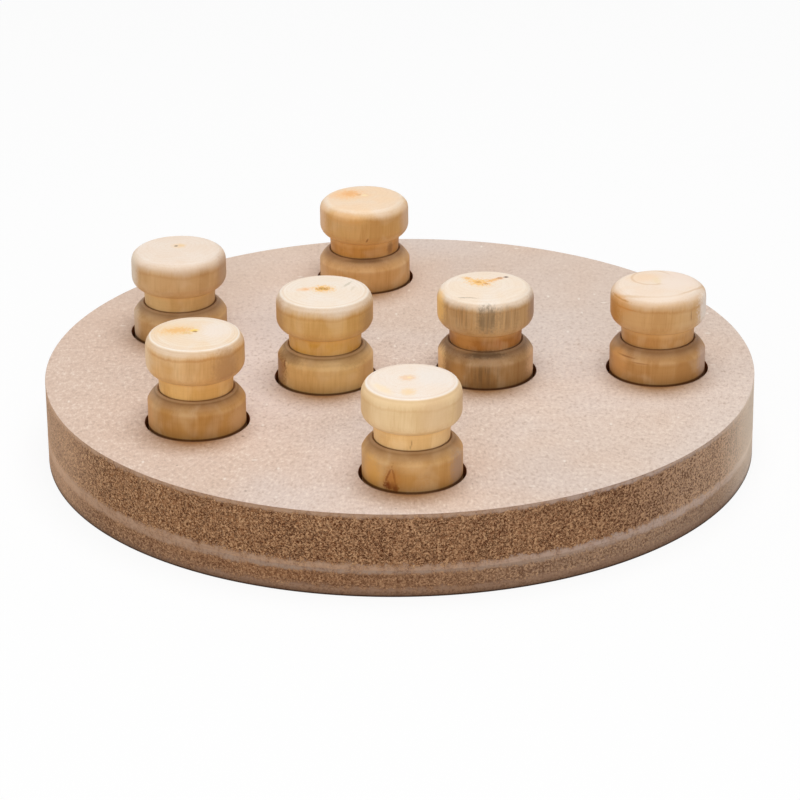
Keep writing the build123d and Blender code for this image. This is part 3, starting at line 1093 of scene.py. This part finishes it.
def flat_face(height, outer, holes):
    """A level face inside a circle and outside some round holes, as triangles.

    The circles' points are the borders, a grid of points fills the space between them, and each
    triangle of the Delaunay net whose middle lies in a hole is left out.
    """
    border, edges = [], []
    for (x, y), radius, columns in [((0.0, 0.0), outer, RIM_COLUMNS)] + holes:
        turn = np.arange(columns) * (2 * math.pi / columns)
        first = len(border)
        border.extend(np.stack([x + radius * np.cos(turn), y + radius * np.sin(turn)], 1).tolist())
        edges.extend((first + i, first + (i + 1) % columns) for i in range(columns))
    ticks = np.arange(-outer, outer, GRID_SPACING)
    grid = np.stack(np.meshgrid(ticks, ticks), -1).reshape(-1, 2)
    clear = np.hypot(*grid.T) < outer - 0.5 * GRID_SPACING
    for (x, y), radius, _ in holes:
        clear &= np.hypot(grid[:, 0] - x, grid[:, 1] - y) > radius + 0.5 * GRID_SPACING
    net = [Vector(p) for p in border + grid[clear].tolist()]
    points, _, triangles, _, _, _ = delaunay_2d_cdt(net, edges, [], 1, 1e-9)
    flat = np.array([(p.x, p.y, height) for p in points])
    triangles = np.array(triangles)
    middle = flat[triangles].mean(axis=1)
    keep = np.hypot(middle[:, 0], middle[:, 1]) < outer
    for (x, y), radius, _ in holes:
        keep &= np.hypot(middle[:, 0] - x, middle[:, 1] - y) > radius
    return flat, triangles[keep]


def rim_surface(board, low, high, rows, seed, ease_low, ease_high):
    """The outer wall of a disc: level strip, rounded arris and sawn wall, from the top down.

    The wall is the disc's radius less a relief made of three noises: upright saw marks, coarse torn
    grain and a slow wave. The relief fades to nothing at both arrises.
    """
    radius, arris = board.radius, board.arris
    stretches = [line((radius - arris - FLAT_STRIP, high), (radius - arris, high), 2)]
    if ease_high:
        stretches.append(arc((radius - arris, high - arris), arris, 90.0, 0.0, 5))
    else:
        stretches.append(line((radius - arris, high), (radius, high), 2))
    wall_top = high - (arris if ease_high else 0.0)
    wall_foot = low + (arris if ease_low else 0.0)
    stretches.append(line((radius, wall_top), (radius, wall_foot), rows))
    if ease_low:
        stretches.append(arc((radius - arris, low + arris), arris, 0.0, -90.0, 5))
    else:
        stretches.append(line((radius, low), (radius - arris, low), 2))
    stretches.append(line((radius - arris, low), (radius - arris - FLAT_STRIP, low), 2))
    profile = joined(*stretches)
    count = len(profile)
    marks = smooth_field(count, RIM_COLUMNS, 1.5, 420.0, seed)
    torn = smooth_field(count, RIM_COLUMNS, 18.0, 600.0, seed + 1)
    wave = smooth_field(count, RIM_COLUMNS, 1.0, 9.0, seed + 2)
    relief = 0.35 * marks + 0.45 * torn + 0.2 * wave
    height = profile[:, 1]
    fade = np.clip(np.minimum(high - height, height - low) / (2 * arris), 0.0, 1.0)
    fade[profile[:, 0] < radius - 1e-9] = 0.0
    radial = -board.saw_relief * (0.5 + 0.5 * relief) * fade[:, None]
    return turned_surface(profile, RIM_COLUMNS, radial=radial)


def well_surface(board, centre, radius, low, high):
    """A bored well's wall: level strip, eased mouth and straight bore down to the lower face."""
    ease = board.mouth_ease
    profile = joined(
        line((radius + ease + FLAT_STRIP, high), (radius + ease, high), 2),
        arc((radius + ease, high - ease), ease, 90.0, 180.0, 5),
        line((radius, high - ease), (radius, low), 14),
    )
    return turned_surface(profile, WELL_COLUMNS, centre)


def make_well_board(board, pegs, well_radius):
    """The upper disc, with a bored well for each peg."""
    low, high = JOINT_HEIGHT, BOARD_TOP
    outer = board.radius - board.arris - FLAT_STRIP
    mouth_radius = well_radius + board.mouth_ease + FLAT_STRIP
    mouths = [((p.x, p.y), mouth_radius, WELL_COLUMNS) for p in pegs.values()]
    bores = [((p.x, p.y), well_radius, WELL_COLUMNS) for p in pegs.values()]
    surfaces = [
        flat_face(high, outer, mouths),
        rim_surface(board, low, high, 34, 11, ease_low=False, ease_high=True),
        flat_face(low, outer, bores),
    ]
    for p in pegs.values():
        surfaces.append(well_surface(board, (p.x, p.y), well_radius, low, high))
    centres = [(p.x / MM, p.y / MM) for p in pegs.values()]
    material = fibreboard("upper_fibreboard", board, (low, high), UPPER_RIM, centres, well_radius)
    return build_piece("fibreboard_upper", surfaces, material)


def make_base_board(board):
    """The lower disc, which is the floor of the wells."""
    low, high = 0.0, JOINT_HEIGHT
    outer = board.radius - board.arris - FLAT_STRIP
    surfaces = [
        flat_face(high, outer, []),
        rim_surface(board, low, high, 20, 23, ease_low=True, ease_high=False),
        flat_face(low, outer, []),
    ]
    material = fibreboard("base_fibreboard", board, (low, high), BASE_RIM)
    return build_piece("fibreboard_base", surfaces, material)


# ---------------------------------------------------------------------------
# Pegs
# ---------------------------------------------------------------------------

PEG_COLUMNS = 224
OVALNESS = 0.05 * MM  # how far a peg is out of round
RIPPLE = 0.035 * MM  # how high the gouge's ripple is


class PegPlace:
    """Where one peg stands and what sets it apart, read from its frame node."""

    def __init__(self, node, head_length):
        low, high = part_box(node)
        self.x = (low.x + high.x) / 2
        self.y = (low.y + high.y) / 2
        self.foot = low.z
        self.height = high.z - low.z
        points = cad_points(node)
        head = points[points[:, 2] > high.z - head_length]
        self.head_radius = np.hypot(head[:, 0] - self.x, head[:, 1] - self.y).max()


def rounded_corner(before, after, reach):
    """Two stretches of a profile joined by a curve that starts and ends a reach from their corner.

    The curve is start * (1 - t)^2 + corner * 2 t (1 - t) + end * t^2, so it stays inside the corner.
    """
    corner = before[-1]
    kept_before = before[np.hypot(*(before - corner).T) > reach]
    kept_after = after[np.hypot(*(after - corner).T) > reach]
    t = np.linspace(0.0, 1.0, 10)[:, None]
    curve = kept_before[-1] * (1 - t) ** 2 + corner * 2 * t * (1 - t) + kept_after[0] * t**2
    return joined(kept_before, curve, kept_after)


def peg_profile(peg, shape, softness):
    """The turned outline from the middle of the cup's ceiling out, up the side and in over the face.

    It is made of straight lines and arcs: cup, foot chamfer, body, rounded shoulder, quirk, neck,
    lip, rounded underside, head, rounded rim and a face that is a shallow arc. Each line and arc
    ends with its number of points.
    """
    body, head = shape.body_radius, peg.head_radius
    face_edge = peg.height - shape.face_rise
    head_foot = peg.height - shape.head_length
    crest = head_foot - shape.neck_length

    shoulder_end = shape.neck_foot_radius + shape.quirk_width
    shoulder_r = body - shape.shoulder_radius * math.cos(shape.shoulder_lean)
    shoulder_turn = math.acos((shoulder_end - shoulder_r) / shape.shoulder_radius)
    shoulder_z = crest - shape.shoulder_radius * math.sin(shoulder_turn)
    ridge_z = shoulder_z + shape.shoulder_radius * math.sin(shape.shoulder_lean)
    lean, turn = math.degrees(shape.shoulder_lean), math.degrees(shoulder_turn)
    lip = shape.neck_top_radius + shape.lip_width
    under_turn = math.acos((lip - head + shape.under_radius) / shape.under_radius)
    under_z = head_foot + shape.under_radius * math.sin(under_turn)
    rim_z = face_edge - shape.rim_radius * math.sin(shape.rim_turn)
    face_radius = head - shape.rim_radius * (1 - math.cos(shape.rim_turn))
    face_curve = (face_radius**2 + shape.face_rise**2) / (2 * shape.face_rise)
    face_turn = math.degrees(math.asin(face_radius / face_curve))

    edge = arc((head - shape.rim_radius, rim_z), shape.rim_radius, 0.0, math.degrees(shape.rim_turn), 18)
    face = arc((0.0, peg.height - face_curve), face_curve, 90.0 - face_turn, 90.0, 48)

    cup, ease, chamfer = shape.cup_radius, shape.cup_ease, shape.foot_chamfer
    return joined(
        line((0.0, shape.cup_depth), (cup, shape.cup_depth), 8),
        line((cup, shape.cup_depth), (cup, ease), 8),
        line((cup, ease), (cup + ease, 0.0), 3),
        line((cup + ease, 0.0), (body - chamfer, 0.0), 6),
        line((body - chamfer, 0.0), (body, chamfer), 4),
        line((body, chamfer), (body, ridge_z), 44),
        arc((shoulder_r, shoulder_z), shape.shoulder_radius, lean, turn, 22),
        line((shoulder_end, crest), (shape.neck_foot_radius, crest - shape.quirk_depth), 4),
        line((shape.neck_foot_radius, crest - shape.quirk_depth), (shape.neck_top_radius, head_foot), 20),
        line((shape.neck_top_radius, head_foot), (lip, head_foot), 3),
        arc((head - shape.under_radius, under_z), shape.under_radius, -math.degrees(under_turn), 0.0, 22),
        line((head, under_z), (head, rim_z), 24),
        rounded_corner(edge, face, softness),
    )


def make_peg(name, peg, shape):
    """One turned peg, its outline a little out of round and rippled by the gouge."""
    profile = peg_profile(peg, shape, TIMBER[name].soft * MM)
    seed = 100 + PEG_NAMES.index(name)
    turn = np.arange(PEG_COLUMNS) * (2 * math.pi / PEG_COLUMNS)
    share = profile[:, 0] / shape.body_radius
    oval = OVALNESS * np.cos(2 * turn + seed)
    ripple = RIPPLE * smooth_field(len(profile), PEG_COLUMNS, 60.0, 1.0, seed)
    radial = share[:, None] * (oval[None, :] + ripple)
    points, quads = turned_surface(profile, PEG_COLUMNS, (peg.x, peg.y), radial)
    points[:, 2] += peg.foot
    material = turned_wood(name, peg, shape)
    return build_piece(name.replace("_peg", "_turned_peg"), [(points, quads)], material)


# ---------------------------------------------------------------------------
# Stage
# ---------------------------------------------------------------------------


FLOOR_REACH = 4.0  # how far the floor goes out each way, in metres
LIT_TARGET = (0.0, 0.0, 0.05)  # what every light panel faces
PANELS = {  # each soft light's place and its two sides, in metres
    "overhead": ((0.12, 0.10, 1.4), (0.9, 0.9)),
    "front": ((0.0, -1.1, 0.65), (1.2, 0.6)),
    "left": ((-0.9, -0.1, 0.6), (0.8, 0.6)),
}


def make_camera(stage):
    """The camera in front of the board, looking down and leaning very slightly."""
    data = bpy.data.cameras.new("camera")
    data.lens = stage.lens
    data.sensor_width = SENSOR_WIDTH
    data.clip_end = 50.0
    camera = bpy.data.objects.new("camera", data)
    bpy.context.scene.collection.objects.link(camera)
    place = Matrix.Translation((0.0, -stage.camera_back, stage.camera_height))
    aim = Matrix.Rotation(math.pi / 2 - stage.camera_pitch, 4, "X")
    lean = Matrix.Rotation(stage.camera_roll, 4, "Z")
    camera.matrix_world = place @ aim @ lean
    bpy.context.scene.camera = camera


def make_panel(name, place, size, power):
    """A soft rectangular light that faces the board."""
    data = bpy.data.lights.new(name, "AREA")
    data.shape = "RECTANGLE"
    data.size, data.size_y = size
    data.energy = power
    panel = bpy.data.objects.new(name, data)
    bpy.context.scene.collection.objects.link(panel)
    aim = (Vector(LIT_TARGET) - Vector(place)).to_track_quat("-Z", "Y")
    panel.matrix_world = Matrix.Translation(place) @ aim.to_matrix().to_4x4()


def seen_directly(tree):
    """1 for rays from the camera, also by way of a gloss or through something clear, and 0 for light."""
    outputs = Wire(tree).node("ShaderNodeLightPath").socket.node.outputs
    camera_ray, glossy, clear = (
        Wire(tree, outputs[name]) for name in ("Is Camera Ray", "Is Glossy Ray", "Is Transmission Ray")
    )
    return larger(camera_ray, larger(glossy, clear))


def make_sky(stage):
    """Even white surroundings: a plain level of light, seen by the camera as white."""
    world = bpy.data.worlds.new("surroundings")
    bpy.context.scene.world = world
    world.use_nodes = True
    tree = world.node_tree
    tree.nodes.clear()
    start = Wire(tree)
    level = seen_directly(tree) * (1.0 - stage.sky_level) + stage.sky_level
    shader = start.node("ShaderNodeBackground", {}, {"Color": (1.0, 1.0, 1.0, 1.0), "Strength": level})
    start.node("ShaderNodeOutputWorld", {}, {"Surface": shader})


def make_floor():
    """A white floor that shows as white and keeps a soft part of the shadow."""
    corners = [(x * FLOOR_REACH, y * FLOOR_REACH, 0.0) for x, y in ((-1, -1), (1, -1), (1, 1), (-1, 1))]
    mesh = bpy.data.meshes.new("floor")
    mesh.from_pydata(corners, [], [(0, 1, 2, 3)])
    material, tree = new_material("white_floor")
    start = Wire(tree)
    lit = start.node("ShaderNodeBsdfDiffuse", {}, {"Color": (0.92, 0.92, 0.92, 1.0)})
    white = start.node("ShaderNodeEmission", {}, {"Color": (1.0, 1.0, 1.0, 1.0), "Strength": 1.0})
    shader = start.node("ShaderNodeMixShader", {}, {0: seen_directly(tree) * 0.9, 1: lit, 2: white})
    start.node("ShaderNodeOutputMaterial", {}, {"Surface": shader})
    mesh.materials.append(material)
    floor = bpy.data.objects.new("floor", mesh)
    bpy.context.scene.collection.objects.link(floor)


# ---------------------------------------------------------------------------
# Operators, panel and registration
# ---------------------------------------------------------------------------


def peg_places(scene):
    """Every peg's place, by the name of its frame node."""
    return {name: PegPlace(name, scene.feeder_peg.head_length) for name in PEG_NAMES}


class FEEDER_OT_boards(bpy.types.Operator):
    """Makes the two fibreboard discs, the upper one with its wells"""

    bl_idname = "feeder.boards"
    bl_label = "Make boards"

    def execute(self, context):
        board = context.scene.feeder_board
        well_radius = context.scene.feeder_peg.body_radius + board.well_clearance
        upper = make_well_board(board, peg_places(context.scene), well_radius)
        base = make_base_board(board)
        for piece, node, slot in (
            (upper, "well_board", "upper_fibreboard"),
            (base, "base_board", "base_fibreboard"),
        ):
            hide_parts(node)
            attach(piece, "board")
        return {"FINISHED"}


class FEEDER_OT_pegs(bpy.types.Operator):
    """Makes the seven turned pegs"""

    bl_idname = "feeder.pegs"
    bl_label = "Make pegs"

    def execute(self, context):
        for name, peg in peg_places(context.scene).items():
            piece = make_peg(name, peg, context.scene.feeder_peg)
            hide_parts(name)
            name + "_wood"
            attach(piece, name)
        return {"FINISHED"}


class FEEDER_OT_stage(bpy.types.Operator):
    """Makes the floor, the lights and the camera"""

    bl_idname = "feeder.stage"
    bl_label = "Make stage"

    def execute(self, context):
        stage = context.scene.feeder_stage
        make_camera(stage)
        make_sky(stage)
        make_floor()
        for side, (place, size) in PANELS.items():
            make_panel(side + "_panel", place, size, getattr(stage, side + "_power"))
        context.scene.view_settings.view_transform = "Standard"
        return {"FINISHED"}


class FEEDER_PT_panel(bpy.types.Panel):
    """Lists the feeder's operators and settings"""

    bl_idname = "FEEDER_PT_panel"
    bl_label = "Puzzle Feeder"
    bl_space_type = "VIEW_3D"
    bl_region_type = "UI"
    bl_category = "Puzzle Feeder"

    def draw(self, context):
        for operator in (FEEDER_OT_boards, FEEDER_OT_pegs, FEEDER_OT_stage):
            self.layout.operator(operator.bl_idname)
        for settings in (context.scene.feeder_board, context.scene.feeder_peg, context.scene.feeder_stage):
            box = self.layout.box()
            for name in settings.__annotations__:
                box.prop(settings, name)


CLASSES = (
    FeederBoard,
    FeederPeg,
    FeederStage,
    FEEDER_OT_boards,
    FEEDER_OT_pegs,
    FEEDER_OT_stage,
    FEEDER_PT_panel,
)


def register():
    """Adds the classes, and the settings to the scene."""
    for item in CLASSES:
        bpy.utils.register_class(item)
    bpy.types.Scene.feeder_board = PointerProperty(type=FeederBoard)
    bpy.types.Scene.feeder_peg = PointerProperty(type=FeederPeg)
    bpy.types.Scene.feeder_stage = PointerProperty(type=FeederStage)


def unregister():
    """Takes the settings and the classes away again."""
    del bpy.types.Scene.feeder_stage
    del bpy.types.Scene.feeder_peg
    del bpy.types.Scene.feeder_board
    for item in reversed(CLASSES):
        bpy.utils.unregister_class(item)


def main():
    """Makes the whole feeder and its stage."""
    register()
    bpy.ops.feeder.boards()
    bpy.ops.feeder.pegs()
    bpy.ops.feeder.stage()


if __name__ == "__main__":
    main()
